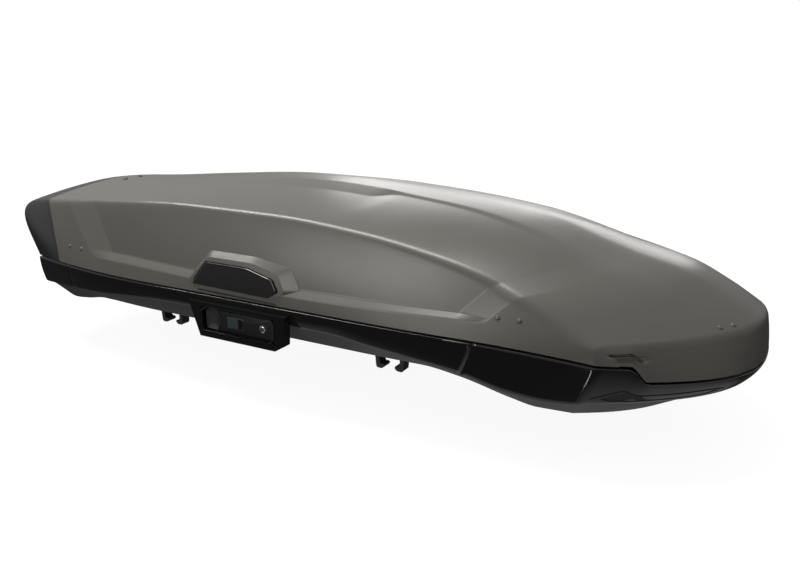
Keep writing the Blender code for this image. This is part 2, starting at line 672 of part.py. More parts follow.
def make_latch_bar(name, sign):
    """A bar with a post and a toe behind each keeper tab; moved to the rear, the toes lie over the tabs."""
    low, high = SEAM_Z - 0.022, SEAM_Z - 0.012
    toe_low, toe_high = SEAM_Z + 0.036, SEAM_Z + 0.042
    gap, toe, post = 0.003, 0.036, 0.006
    rear_end = TAB_X[0] + TAB_LENGTH + gap
    points = [(rear_end, high), (rear_end, low), (TAB_X[-1] + TAB_LENGTH + gap + toe + post, low)]
    for tab in reversed(TAB_X):
        first = tab + TAB_LENGTH + gap
        points += [(first + toe + post, toe_high), (first, toe_high), (first, toe_low),
                   (first + toe, toe_low), (first + toe, high)]
        if tab != TAB_X[0]:
            points.append((TAB_X[TAB_X.index(tab) - 1] + TAB_LENGTH + gap + toe + post, high))
    outline(name, points, sign * LATCH_Y, 2 * LATCH_HALF, "XZ", "steel")


# ---- Assembly ------------------------------------------------------------------------------------
def build():
    make_base_shell()
    make_trims()
    make_seal()
    make_floor()
    for end in ("front", "rear"):
        for side in ("right", "left"):
            make_clamp(end, side)
            make_strut(end, side)
    for side in ("right", "left"):
        make_lock(side)
    make_hinge_rail("right_hinge_rail", -1, RIGHT_PIN_X)
    make_hinge_rail("left_hinge_rail", 1, LEFT_PIN_X)
    make_lid_shell()
    make_rear_cap()
    make_badge_plates()
    make_lid_beams()


for old in list(bpy.data.objects):
    bpy.data.objects.remove(old, do_unlink=True)
PARTS = new_collection("roof_cargo_box")
CUTTERS = new_collection("cutters")
PAINT = make_materials()
build()
for thing in list(bpy.data.objects):
    if thing.parent is None:
        thing.location.x += BASE_MIDDLE_X
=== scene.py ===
import math

import bpy
import bmesh
from mathutils import Matrix, Vector
from mathutils.bvhtree import BVHTree


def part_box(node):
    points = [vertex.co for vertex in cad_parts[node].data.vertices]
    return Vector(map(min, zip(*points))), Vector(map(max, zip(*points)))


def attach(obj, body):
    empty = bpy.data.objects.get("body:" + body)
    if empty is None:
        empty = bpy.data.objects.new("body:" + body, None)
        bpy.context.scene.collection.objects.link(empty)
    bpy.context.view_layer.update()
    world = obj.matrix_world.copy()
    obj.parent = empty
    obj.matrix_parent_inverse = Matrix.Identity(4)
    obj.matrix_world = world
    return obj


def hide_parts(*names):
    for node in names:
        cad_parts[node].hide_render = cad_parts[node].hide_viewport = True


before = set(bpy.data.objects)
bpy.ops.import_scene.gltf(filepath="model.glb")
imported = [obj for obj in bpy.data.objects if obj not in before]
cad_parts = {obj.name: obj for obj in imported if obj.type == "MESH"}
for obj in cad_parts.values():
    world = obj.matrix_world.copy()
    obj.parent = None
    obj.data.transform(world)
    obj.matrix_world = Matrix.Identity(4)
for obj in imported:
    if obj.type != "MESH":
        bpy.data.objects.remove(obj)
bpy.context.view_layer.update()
BASE_MIDDLE_X = 0.043      # numbers below are measured from the base's middle, this far ahead of the origin

# ---- Driving dimensions, as in the frame ---------------------------------------------------------
HALF_WIDTH = 0.42          # half width at the seam, at the widest place
SEAM_Z = 0.157             # height of the seam between lid and base along the sides
LID_EDGE, RIM_EDGE = 0.002, -0.0035          # the two edges at the seam, relative to it
WALL = 0.003
CAP_LINE = 0.0014          # width of the joint between the lid and the rear cap
FRONT_TAPER, FRONT_TAPER_X = 0.10, 0.17
REAR_TAPER, REAR_TAPER_X = 0.204, -0.50
NOSE_CORNER_X, NOSE_X, NOSE_POWER = 0.775, 1.087, 2.69
REAR_CORNER_X, REAR_X = -1.062, -1.088
SIDE_DROP, SIDE_DROP_X, NOSE_DROP = 0.015, 0.45, 0.0515
TUMBLEHOME = 0.287
CREASE_REAR_X, CREASE_NOSE_X = -1.045, 0.763
NOSE_CREASE_X, NOSE_CREASE_POWER, CROWN_POWER = 1.075, 2.05, 1.7
WALL_BULGE, SKIRT_BULGE = 0.008, 0.003
CAP_SPLIT_X = -0.931
CAP_OVERHANG = 0.190

# Heights above the seam, as (station, height).
CREASE = ((-1.05, 0.178), (-0.78, 0.204), (-0.40, 0.226), (-0.10, 0.2245), (0.15, 0.207),
          (0.39, 0.167), (0.53, 0.127), (0.775, 0.020))
RIDGE = ((-1.06, 0.210), (-0.84, 0.2195), (-0.38, 0.265), (-0.10, 0.2746), (0.15, 0.262), (0.35, 0.250),
         (0.55, 0.226), (0.75, 0.176), (0.90, 0.1385), (1.00, 0.089), (1.075, 0.041))
SKIRT = ((-1.045, -0.085), (-0.90, -0.076), (-0.715, -0.065), (-0.54, -0.053), (-0.38, -0.048),
         (0.10, -0.049), (0.215, -0.060), (0.33, -0.071), (0.448, -0.084), (0.58, -0.114), (0.66, -0.121),
         (0.775, -0.112))
KEEL = ((-1.045, -0.105), (-0.944, -0.128), (-0.86, -0.118), (-0.769, -0.102), (-0.68, -0.100),
        (0.35, -0.100), (0.45, -0.112), (0.579, -0.143), (0.64, -0.154), (0.775, -0.154))

# The side's panels from the rear: (x on the crease, x on the seam, share of the recess, columns).
PANELS = ((-1.045, -0.9296, 0, 16), (-0.928, -0.720, 0, 7), (-0.805, -0.632, 1, 74), (0.528, 0.406, 1, 7),
          (0.584, 0.483, 0, 18), (0.763, 0.775, 0, 0))
RECESS_DEPTH = 0.012
LEDGE_TOP = ((-0.72, 0.062), (-0.35, 0.052), (0.04, 0.049), (0.27, 0.052), (0.52, 0.056))
LEDGE_LOW = ((-0.72, 0.042), (-0.35, 0.033), (0.04, 0.032), (0.27, 0.036), (0.52, 0.044))
FILLET = 0.013             # radius along the shoulder crease
NOSE_SLOT = (0.0150, 0.0225)                 # top and bottom of the nose's slot, below the crease
RIVET_HEAD = (0.0062, 0.0026)                # radius and height of the small heads

# Lines along the roof: distance from the middle at a station.
SPINE_LINE = ((-1.1, 0.008), (0.50, 0.009), (0.542, 0.013), (0.681, 0.049), (0.80, 0.062), (1.1, 0.066))
RISE_IN = ((-1.1, 0.018), (-0.5, 0.030), (0.08, 0.056), (0.10, 0.060), (0.35, 0.097), (0.505, 0.128),
           (1.1, 0.20))
RISE_OUT = ((-1.1, 0.20), (-0.90, 0.18), (-0.68, 0.095), (-0.29, 0.110), (0.065, 0.120), (0.105, 0.074),
            (0.35, 0.112), (0.505, 0.150), (1.1, 0.26))
RISE_HEIGHT = ((-1.1, 0.0), (-0.98, 0.004), (-0.80, 0.0085), (0.08, 0.0085), (0.15, 0.0035), (0.45, 0.0025),
               (0.66, 0.0), (1.1, 0.0))
SPINE_HEIGHT = ((-1.1, 0.0), (0.50, 0.0), (0.60, 0.004), (0.80, 0.006), (0.95, 0.005), (1.1, 0.0))
SPINE_FALL = 0.085


# ---- Small helpers -------------------------------------------------------------------------------
def clamp01(value):
    return min(max(value, 0.0), 1.0)


def smooth(value):
    value = clamp01(value)
    return value * value * (3 - 2 * value)


def mix(a, b, t):
    return a + (b - a) * t


def sweep(start, stop, count):
    return [mix(start, stop, k / count) for k in range(count + 1)]


def linear(stations, x):
    for (a, low), (b, high) in zip(stations, stations[1:]):
        if x <= b:
            return mix(low, high, clamp01((x - a) / (b - a)))
    return stations[-1][1]


def through(stations, x):
    """Height at x of a smooth curve through the stations."""
    x = min(max(x, stations[0][0]), stations[-1][0])
    last = len(stations) - 2
    i = next((k for k in range(last) if x < stations[k + 1][0]), last)
    slopes = [(b[1] - a[1]) / (b[0] - a[0]) for a, b in zip(stations, stations[1:])]

    def tangent(k):
        if k == 0 or k == len(stations) - 1:
            return slopes[0] if k == 0 else slopes[-1]
        before, after = slopes[k - 1], slopes[k]
        return 2 * before * after / (before + after) if before * after > 0 else 0.0

    width = stations[i + 1][0] - stations[i][0]
    t = (x - stations[i][0]) / width
    rise = (2 * t ** 3 - 3 * t ** 2 + 1) * stations[i][1] + (3 * t ** 2 - 2 * t ** 3) * stations[i + 1][1]
    return rise + width * (t * (1 - t) ** 2 * tangent(i) - t ** 2 * (1 - t) * tangent(i + 1))


# ---- Materials -----------------------------------------------------------------------------------
def material(name, colour, rough, metallic=0.0, spread=0.12, rough_spread=0.06, scale=9.0, grain=0.0,
             grain_scale=900.0, cells=False, coat=0.0, stretch=(1, 1, 1), sheen=0.0):
    """Principled paint whose colour, roughness and surface vary with noise in the object's own space."""
    made = bpy.data.materials.new(name)
    made.use_nodes = True
    nodes, links = made.node_tree.nodes, made.node_tree.links
    shader = nodes["Principled BSDF"]
    shader.inputs["Metallic"].default_value = metallic
    shader.inputs["Coat Weight"].default_value = coat
    shader.inputs["Coat Roughness"].default_value = 0.06
    shader.inputs["Sheen Weight"].default_value = sheen
    place = nodes.new("ShaderNodeTexCoord")
    mapping = nodes.new("ShaderNodeMapping")
    mapping.inputs["Scale"].default_value = stretch
    links.new(place.outputs["Object"], mapping.inputs["Vector"])

    def noise(size, detail):
        node = nodes.new("ShaderNodeTexNoise")
        node.inputs["Scale"].default_value = size
        node.inputs["Detail"].default_value = detail
        links.new(mapping.outputs["Vector"], node.inputs["Vector"])
        return node

    broad = noise(scale, 4.0)
    fine = noise(grain_scale, 2.0)
    blend = nodes.new("ShaderNodeMix")
    blend.data_type = "RGBA"
    blend.inputs["A"].default_value = (*(c * (1 - spread) for c in colour), 1)
    blend.inputs["B"].default_value = (*(min(1.0, c * (1 + spread)) for c in colour), 1)
    both = nodes.new("ShaderNodeMath")
    both.operation = "MULTIPLY_ADD"
    both.inputs[1].default_value = 0.5
    half = nodes.new("ShaderNodeMath")
    half.operation = "MULTIPLY"
    half.inputs[1].default_value = 0.5
    links.new(fine.outputs["Fac"], half.inputs[0])
    links.new(broad.outputs["Fac"], both.inputs[0])
    links.new(half.outputs[0], both.inputs[2])
    links.new(both.outputs[0], blend.inputs["Factor"])
    links.new(blend.outputs["Result"], shader.inputs["Base Color"])
    vary = nodes.new("ShaderNodeMapRange")
    vary.inputs["From Min"].default_value = 0.3
    vary.inputs["From Max"].default_value = 0.7
    vary.inputs["To Min"].default_value = max(0.02, rough - rough_spread)
    vary.inputs["To Max"].default_value = min(1.0, rough + rough_spread)
    links.new(broad.outputs["Fac"], vary.inputs["Value"])
    links.new(vary.outputs["Result"], shader.inputs["Roughness"])
    if grain:
        relief = fine.outputs["Fac"]
        if cells:
            pattern = nodes.new("ShaderNodeTexVoronoi")
            pattern.inputs["Scale"].default_value = grain_scale
            links.new(mapping.outputs["Vector"], pattern.inputs["Vector"])
            relief = pattern.outputs["Distance"]
        bump = nodes.new("ShaderNodeBump")
        bump.inputs["Strength"].default_value = grain
        bump.inputs["Distance"].default_value = 0.0006
        links.new(relief, bump.inputs["Height"])
        links.new(bump.outputs["Normal"], shader.inputs["Normal"])
    return made


PAINT = {
    "lid": material("lid_paint", (0.082, 0.0765, 0.066), 0.34, spread=0.04, rough_spread=0.03, scale=3.0,
                    grain=0.10, grain_scale=1400.0, metallic=0.2),
    "lid_inner": material("lid_inner", (0.022, 0.022, 0.023), 0.55, grain=0.4, grain_scale=700.0, cells=True),
    "cap": material("cap_paint", (0.006, 0.006, 0.0065), 0.42, spread=0.15, grain=0.12, grain_scale=1100.0),
    "gloss": material("gloss_black", (0.006, 0.006, 0.0068), 0.10, spread=0.1, rough_spread=0.025, scale=5.0,
                      grain=0.02, grain_scale=300.0),
    "tub": material("tub_plastic", (0.016, 0.016, 0.017), 0.52, grain=0.5, grain_scale=650.0, cells=True),
    "dark": material("moulded_plastic", (0.022, 0.022, 0.024), 0.46, grain=0.35, grain_scale=900.0,
                     cells=True),
    "rubber": material("rubber", (0.010, 0.010, 0.010), 0.8, grain=0.3, grain_scale=500.0),
    "felt": material("needled_felt", (0.045, 0.046, 0.048), 0.95, spread=0.35, scale=60.0, grain=1.0,
                     grain_scale=800.0, sheen=0.4),
    "steel": material("zinc_plate", (0.55, 0.56, 0.57), 0.3, metallic=1.0, spread=0.08, grain=0.15,
                      grain_scale=500.0, stretch=(0.15, 1, 1)),
    "lens": material("smoked_window", (0.038, 0.048, 0.054), 0.14, coat=0.5, spread=0.2, scale=60.0),
    "knob": material("knob_plastic", (0.20, 0.21, 0.22), 0.45, grain=0.3, grain_scale=900.0, cells=True),
    "chrome": material("key_metal", (0.75, 0.75, 0.74), 0.18, metallic=1.0, spread=0.05, grain=0.1),
}


# ---- Pieces --------------------------------------------------------------------------------------
def piece(name, points, faces, paint, body, stands_for=(), second=None, sharp=35):
    mesh = bpy.data.meshes.new(name)
    mesh.from_pydata([tuple(point) for point in points], [], faces)
    shape = bmesh.new()
    shape.from_mesh(mesh)
    bmesh.ops.remove_doubles(shape, verts=shape.verts, dist=1e-6)
    shape.to_mesh(mesh)
    shape.free()
    mesh.shade_smooth()
    mesh.set_sharp_from_angle(angle=math.radians(sharp))
    mesh.materials.append(PAINT[paint])
    if second:
        mesh.materials.append(PAINT[second])
    made = bpy.data.objects.new(name, mesh)
    made.location.x = BASE_MIDDLE_X
    bpy.context.scene.collection.objects.link(made)
    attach(made, body)
    if stands_for:
        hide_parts(*stands_for)
    return made


def shell(made, thickness=WALL, inner=0):
    """Gives a surface its thickness, inwards, with another paint inside."""
    modifier = made.modifiers.new("wall", "SOLIDIFY")
    modifier.thickness = thickness
    modifier.offset = -1.0
    modifier.use_even_offset = True
    modifier.thickness_clamp = 0.5
    modifier.material_offset = inner
    return made


def soften(made, width, segments=2, angle=40):
    modifier = made.modifiers.new("edges", "BEVEL")
    modifier.width = width
    modifier.segments = segments
    modifier.limit_method = "ANGLE"
    modifier.angle_limit = math.radians(angle)
    modifier.harden_normals = True
    return made


def raise_seam(points):
    return [point + Vector((0, 0, SEAM_Z)) for point in points]


def stacked(name, loops, paint, body, stands_for=(), closed=True, sharp=35):
    """A piece made of matching loops, from its back to its front, with both ends closed."""
    count = len(loops[0])
    points = [point for loop_points in loops for point in loop_points]
    faces = grid_faces(len(loops), count, close=True)
    if closed:
        faces.append(tuple(range(count))[::-1])
    faces.append(tuple(range((len(loops) - 1) * count, len(loops) * count)))
    made = piece(name, raise_seam(points), faces, paint, body, stands_for, sharp=sharp)
    outward(made)
    return made


def outward(made):
    shape = bmesh.new()
    shape.from_mesh(made.data)
    bmesh.ops.recalc_face_normals(shape, faces=shape.faces)
    shape.to_mesh(made.data)
    shape.free()


def rounded(corners, radius, steps=4):
    """A flat outline with its corners rounded."""
    path = []
    for before, corner, after in zip(corners[-1:] + corners[:-1], corners, corners[1:] + corners[:1]):
        corner = Vector(corner)
        back, ahead = Vector(before) - corner, Vector(after) - corner
        reach = min(radius, back.length * 0.45, ahead.length * 0.45)
        first, last = corner + back.normalized() * reach, corner + ahead.normalized() * reach
        for s in sweep(0, 1, steps):
            path.append((1 - s) ** 2 * first + 2 * s * (1 - s) * corner + s * s * last)
    return path


def fine(path, step=0.012):
    """The same outline with points along its long edges."""
    points = []
    for a, b in zip(path, path[1:] + path[:1]):
        count = max(1, round((b - a).length / step))
        points += [a.lerp(b, k / count) for k in range(count)]
    return points


def grid_faces(rows, columns, flip=False, close=False):
    faces = []
    for i in range(rows - 1):
        for j in range(columns if close else columns - 1):
            k = (j + 1) % columns
            face = (i * columns + j, i * columns + k, (i + 1) * columns + k, (i + 1) * columns + j)
            faces.append(face[::-1] if flip else face)
    return faces


# ---- Shape of the box ----------------------------------------------------------------------------
def half_width(x):
    taper = FRONT_TAPER * max(0.0, x - FRONT_TAPER_X) ** 2 + REAR_TAPER * max(0.0, REAR_TAPER_X - x) ** 2
    return HALF_WIDTH - taper


def side_seam(x):
    return -SIDE_DROP * clamp01((x - SIDE_DROP_X) / (NOSE_CORNER_X - SIDE_DROP_X)) ** 2


def nose_seam(u):
    """The seam steps down just inside the nose corners."""
    return mix(-NOSE_DROP, -SIDE_DROP - 0.003 * (1 - abs(u)) / 0.12, smooth((abs(u) - 0.865) / 0.045))


class Level:
    """One closed line round the box: a plan outline and its height, both relative to the seam."""

    def __init__(self, inset, rear, corner, nose, side_height, nose_height):
        self.inset = inset
        self.rear_x, self.rear_corner = rear
        self.corner = corner
        self.nose_x, self.power = nose
        self.side_height = side_height
        self.nose_height = nose_height

    def point(self, zone, s):
        """zone is side (s from rear to nose), nose or rear (s from -1 at the right to 1 at the left)."""
        if zone == "nose":
            x = self.nose_x - (self.nose_x - self.corner) * abs(s) ** self.power
            return Vector((x, s * (half_width(self.corner) - self.inset), self.nose_height(s)))
        if zone == "rear":
            x = self.rear_x + (self.rear_corner - self.rear_x) * abs(s) ** 6
            y = s * (half_width(self.rear_corner) - self.inset)
            return Vector((x, y, self.side_height(self.rear_corner)))
        side = -1 if zone == "right" else 1
        x = mix(self.rear_corner, self.corner, s)
        return Vector((x, side * (half_width(x) - self.inset), self.side_height(x)))


def level_at(inset, drop):
    return Level(inset, (REAR_X + inset, REAR_CORNER_X + inset), NOSE_CORNER_X - inset / 2,
                 (NOSE_X - inset, NOSE_POWER), lambda x: side_seam(x) + drop, lambda u: nose_seam(u) + drop)


def skirt_level(inset, drop=0.0):
    return Level(inset, (REAR_X + 0.005 + inset, REAR_CORNER_X + inset), 0.742 - inset / 2,
                 (NOSE_X - 0.012 - inset, 2.7), lambda x: through(SKIRT, x) + drop,
                 lambda u: mix(-0.088, -0.112, abs(u) ** 2) + drop)


LID_SEAM = level_at(0.001, LID_EDGE)
TUB_TOP = level_at(0.008, -0.010)
TUB_SKIRT = skirt_level(0.020)
TUB_EDGE = Level(0.050, (-1.015, -0.995), 0.720, (0.955, 2.5), lambda x: through(KEEL, x),
                 lambda u: mix(-0.128, -0.154, smooth(abs(u) * 1.1)))


# ---- Lid -----------------------------------------------------------------------------------------
def panel_at(t):
    """x on the crease, x on the seam and share of the recess, at t panels from the rear."""
    k = min(int(t), len(PANELS) - 2)
    first, second = PANELS[k], PANELS[k + 1]
    return tuple(mix(first[n], second[n], t - k) for n in range(3))


def lid_columns():
    """Stations along the lid, closer together beside each panel's edges."""
    stops = [0.0]
    for k, (x, _, _, count) in enumerate(PANELS[:-1]):
        near = 0.0035 / (PANELS[k + 1][0] - x)
        stops += [k + near] if k else []
        stops += [k + s / count for s in range(1, count)]
        stops += [k + 1 - near, k + 1]
    return stops


def crease_at(t):
    """Distance of the shoulder crease from the middle, and its height."""
    x, _, share = panel_at(t)
    height = through(CREASE, x)
    return half_width(x) - TUMBLEHOME * height - RECESS_DEPTH * share, height


def roof_rise(x, y):
    """Height that the raised middle of the roof adds."""
    y = abs(y)
    inner, outer = linear(RISE_IN, x), linear(RISE_OUT, x)
    rise = through(RISE_HEIGHT, x) * (1 - clamp01((y - inner) / (outer - inner)))
    spine = through(SPINE_HEIGHT, x) * (1 - smooth((y - linear(SPINE_LINE, x)) / SPINE_FALL + 0.12))
    return rise + spine


def roof_point(u, t):
    """A point of the roof: u runs from the right crease to the left, t from the rear to the nose."""
    x_side = panel_at(t)[0]
    v = (x_side - CREASE_REAR_X) / (CREASE_NOSE_X - CREASE_REAR_X)
    width, height = crease_at(t)
    bow = v ** 3 * (NOSE_CREASE_X - CREASE_NOSE_X)
    rear_bow = -0.015 * (1 - v) ** 3
    x = x_side + bow * (1 - abs(u) ** NOSE_CREASE_POWER) + rear_bow * (1 - u * u)
    middle = x_side + bow + rear_bow
    ridge = through(RIDGE, middle) - roof_rise(middle, 0)
    z = height + (ridge - height) * (1 - abs(u) ** CROWN_POWER) + roof_rise(x, u * width)
    return Vector((x, u * width, z))


def roof_stops(t):
    """Places across the roof from the middle to the crease, along the roof's own lines."""
    width = crease_at(t)[0]
    marks = [0.0]
    for line in (SPINE_LINE, RISE_IN, RISE_OUT):
        u = 0.1
        for _ in range(6):
            u = linear(line, roof_point(u, t).x) / width
        marks.append(u)
    marks.append(1 - FILLET / width)
    shares = ((0, 0.5, 0.85), (0, 0.15, 0.5, 0.9), (0, 0.08, 0.5, 0.92),
              (0, 0.03, 0.10, 0.2, 0.3, 0.4, 0.5, 0.56, 0.59, 0.61, 0.63, 0.65, 0.68, 0.71,
               0.74, 0.77, 0.80, 0.83,
               0.85, 0.87, 0.89, 0.91, 0.94, 0.97, 1))
    stops = []
    for (a, b), inside in zip(zip(marks, marks[1:]), shares):
        stops += [mix(a, b, s) for s in inside]
    return stops


def wall_depth(zone, point, u, share, low, high):
    """How far in the wall lies: the side's recess over its ledge, and the slot beside the nose corner."""
    if zone != "nose":
        return RECESS_DEPTH * share * clamp01((point.z - low) / (high - low))
    u = abs(u)
    slot = smooth((u - 0.850) / 0.015) * smooth((0.968 - u) / 0.02)
    pocket = smooth((u - 0.884) / 0.010) * smooth((0.950 - u) / 0.012)
    if low + 0.0003 < point.z < high - 0.0003:
        return 0.0095 * slot
    return 0.0050 * pocket if point.z <= low - 0.004 else 0.0


def wall_stops(top, high, low):
    """Shares of the wall's height from the fillet down to the seam, with rows along the ledge."""
    stops = [mix(top, high, s) for s in (0, 0.1, 0.2, 0.3, 0.4, 0.5, 0.6, 0.7, 0.8, 0.9, 0.97, 1)]
    stops += [mix(high, low, s) for s in (0.10, 0.5, 0.90, 1)]
    return stops + [mix(low, 0.0, s) for s in (0.08, 0.4, 0.75, 1)]


def wall_column(zone, crease, seam, u, share):
    """Points of one column of the lid's wall, from its fillet down."""
    height = crease.z - seam.z
    reach = min(FILLET / height, 0.24)
    top_z, low_z = linear(LEDGE_TOP, crease.x), linear(LEDGE_LOW, crease.x)
    if zone == "nose":
        top_z, low_z = crease.z - NOSE_SLOT[0], crease.z - NOSE_SLOT[1]
    high = min(top_z - seam.z, 0.70 * height) / height
    low = min(low_z - seam.z, 0.52 * height) / height
    outward = Vector((seam.x - crease.x, seam.y - crease.y, 0.0))
    outward = outward.normalized() if outward.length > 1e-6 else Vector((0, 0, 0))
    points = []
    for h in wall_stops(1 - reach, high, low):
        point = seam.lerp(crease, h) + outward * WALL_BULGE * 4 * h * (1 - h) * min(1.0, crease.z / 0.2)
        deep = wall_depth(zone, point, u, share, seam.z + low * height, seam.z + high * height)
        if zone == "nose":
            point -= Vector((point.x - 0.5, point.y, 0)).normalized() * deep
        else:
            point.y -= math.copysign(deep, point.y)
        points.append(point)
    return points


def make_lid():
    stations = lid_columns()
    rows = []
    for t in stations:
        inner = t if t < len(PANELS) - 2 else len(PANELS) - 2 + (t - len(PANELS) + 2) * 0.97
        half = roof_stops(inner)
        rows.append([roof_point(u, inner) for u in [-s for s in half[:0:-1]] + half])
    last = roof_stops(stations[-1])
    trimmed = last[-1]
    across = [u / trimmed for u in [-s for s in last[:0:-1]] + last]
    columns = len(across)
    points = [point for row in rows for point in row]
    faces = grid_faces(len(rows), columns, flip=True)
    end = len(stations) - 1
    rim = [("right", j) for j in range(end + 1)] + [("nose", i) for i in range(1, columns)]
    rim += [("left", j) for j in range(end - 1, -1, -1)]
    above, walls = [], []
    for zone, k in rim:
        if zone == "nose":
            above.append(end * columns + k)
            u, share = across[k], 0.0
            crease, seam = roof_point(u, stations[-1]), LID_SEAM.point("nose", u)
            outer = crease
            if abs(u) > 1 - 1e-9:
                zone = "left"
        else:
            above.append(k * columns + (0 if zone == "right" else columns - 1))
            u = -1.0 if zone == "right" else 1.0
            _, x, share = panel_at(stations[k])
            crease = roof_point(u, stations[k])
            outer = crease + Vector((0, u * RECESS_DEPTH * share, 0))
            seam = Vector((x, u * (half_width(x) - 0.001), side_seam(x) + LID_EDGE))
        wall = wall_column(zone, outer, seam, u, share)
        edge = points[above[-1]]
        fillet = [(1 - s) ** 2 * edge + 2 * s * (1 - s) * crease + s * s * wall[0]
                  for s in (0.2, 0.4, 0.6, 0.8)]
        walls.append(fillet + wall)
    for row in zip(*walls):
        first = len(points)
        points += row
        below = list(range(first, len(points)))
        for k in range(len(above) - 1):
            faces.append((below[k], below[k + 1], above[k + 1], above[k]))
        above = below
    made = piece("lid_shell_fine", raise_seam(points), faces, "lid", "lid", ("lid_shell",), "lid_inner", 60)
    soften(shell(made, inner=1), 0.0008, 1, 70)
    return made


def cap_point(q, h):
    """A point of the rear cap: q runs from the right (-1) round the rear to the left (1), h upwards."""
    side = 1 if q > 0 else -1
    a = abs(q)
    corner_q = 0.62
    if a > corner_q:
        x = mix(REAR_CORNER_X, CAP_SPLIT_X, (a - corner_q) / (1 - corner_q))
        seam = Vector((x, side * (half_width(x) - 0.001), LID_EDGE))
        u = mix(0.92, 1.0, (a - corner_q) / (1 - corner_q))
    else:
        seam = LID_SEAM.point("rear", side * a / corner_q)
        u = 0.92 * a / corner_q
    top = roof_point(side * u, 0.0) - Vector((CAP_LINE, 0, 0))
    wall = smooth((a - 0.70) / 0.30)
    corner = smooth(a / corner_q)
    low_reach = Vector((mix(-0.070, -0.055, corner), -side * 0.004 * corner, top.z * 0.55))
    top_reach = Vector((-CAP_OVERHANG, side * 0.030 * corner, -0.014))
    lower = (seam + low_reach).lerp(seam.lerp(top, 1 / 3), wall)
    upper = (top + top_reach).lerp(seam.lerp(top, 2 / 3), wall)
    bulge = Vector((seam.x - top.x, seam.y - top.y, 0.0)).normalized() * wall
    bulge *= WALL_BULGE * min(1.0, top.z / 0.2) * 4 / 3
    lower += bulge
    upper += bulge
    k = 1 - h
    return k ** 3 * seam + 3 * k * k * h * lower + 3 * k * h * h * upper + h ** 3 * top


def make_cap():
    around, up = 120, 26
    points = [cap_point(q, h) for h in sweep(0, 1, up) for q in sweep(-1, 1, around)]
    faces = grid_faces(up + 1, around + 1, flip=True)
    made = piece("rear_cap_fine", raise_seam(points), faces, "cap", "lid", ("rear_cap",), sharp=60)
    soften(shell(made), 0.0008, 1, 70)
    return made


# ---- Base ----------------------------------------------------------------------------------------
TAIL_S, NOSE_S = 0.1000, 0.8492          # where the trims meet, as shares of the side
SPLIT = 0.0002


def trim_profile(zone, s):
    """Points of a trim's section, from its inner top edge over the skirt to its inner lower edge."""
    top, low = level_at(0.0, RIM_EDGE - 0.0014).point(zone, s), skirt_level(0.010).point(zone, s)
    inner = level_at(0.0066, RIM_EDGE).point(zone, s)
    lip = level_at(0.0014, RIM_EDGE).point(zone, s)
    outward = Vector((top.x - low.x, top.y - low.y, 0)).normalized()
    skirt = [top.lerp(low, h) + outward * SKIRT_BULGE * 4 * h * (1 - h) for h in sweep(0, 1, 10)]
    low_lip = skirt_level(0.0116, -0.0014).point(zone, s)
    low_inner = skirt_level(0.0195, -0.0016).point(zone, s)
    return [inner, lip] + skirt + [low_lip, low_inner]


def make_strip(name, stops, stands_for):
    rows = list(zip(*(trim_profile(zone, s) for zone, s in stops)))
    points = [point for row in rows for point in row]
    faces = grid_faces(len(rows), len(stops), flip=True)
    made = piece(name, raise_seam(points), faces, "gloss", "base", (stands_for,), sharp=50)
    return shell(made, 0.0018)


def make_trims():
    for side in ("right", "left"):
        stops = [(side, s) for s in sweep(TAIL_S + SPLIT, NOSE_S - SPLIT, 120)]
        made = make_strip("side_skirt_" + side, stops if side == "right" else stops[::-1],
                          "base_trim_" + side)
        sign = -1 if side == "right" else 1
        low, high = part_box("lock_housing_" + side)
        cutter = bpy.data.objects.new("notch_" + side, bpy.data.meshes.new("notch_" + side))
        shape = bmesh.new()
        bmesh.ops.create_cube(shape, size=1.0)
        shape.to_mesh(cutter.data)
        shape.free()
        bpy.context.scene.collection.objects.link(cutter)
        cutter.scale = (high.x - low.x + 0.001, 0.09, 0.2)
        cutter.location = ((low.x + high.x) / 2, sign * 0.415, high.z - 0.1)
        cutter.hide_render = True
        cut = made.modifiers.new("notch", "BOOLEAN")
        cut.object = cutter
        cut.solver = "EXACT"
        CUTTERS.append(cutter)
    nose = [("right", s) for s in sweep(NOSE_S, 1, 26)] + [("nose", s) for s in sweep(-1, 1, 96)[1:]]
    nose += [("left", s) for s in sweep(1, NOSE_S, 26)[1:]]
    make_strip("nose_skirt", nose, "nose_trim")
    tail = [("left", s) for s in sweep(TAIL_S, 0, 20)] + [("rear", s) for s in sweep(1, -1, 60)[1:]]
    tail += [("right", s) for s in sweep(0, TAIL_S, 20)[1:]]
    make_strip("tail_skirt", tail, "tail_trim")


CUTTERS = []


def loop(level, along, across):
    points = [level.point("right", s) for s in sweep(0, 1, along)]
    points += [level.point("nose", s) for s in sweep(-1, 1, across)[1:]]
    points += [level.point("left", s) for s in sweep(1, 0, along)[1:]]
    points += [level.point("rear", s) for s in sweep(1, -1, across)[1:-1]]
    return points


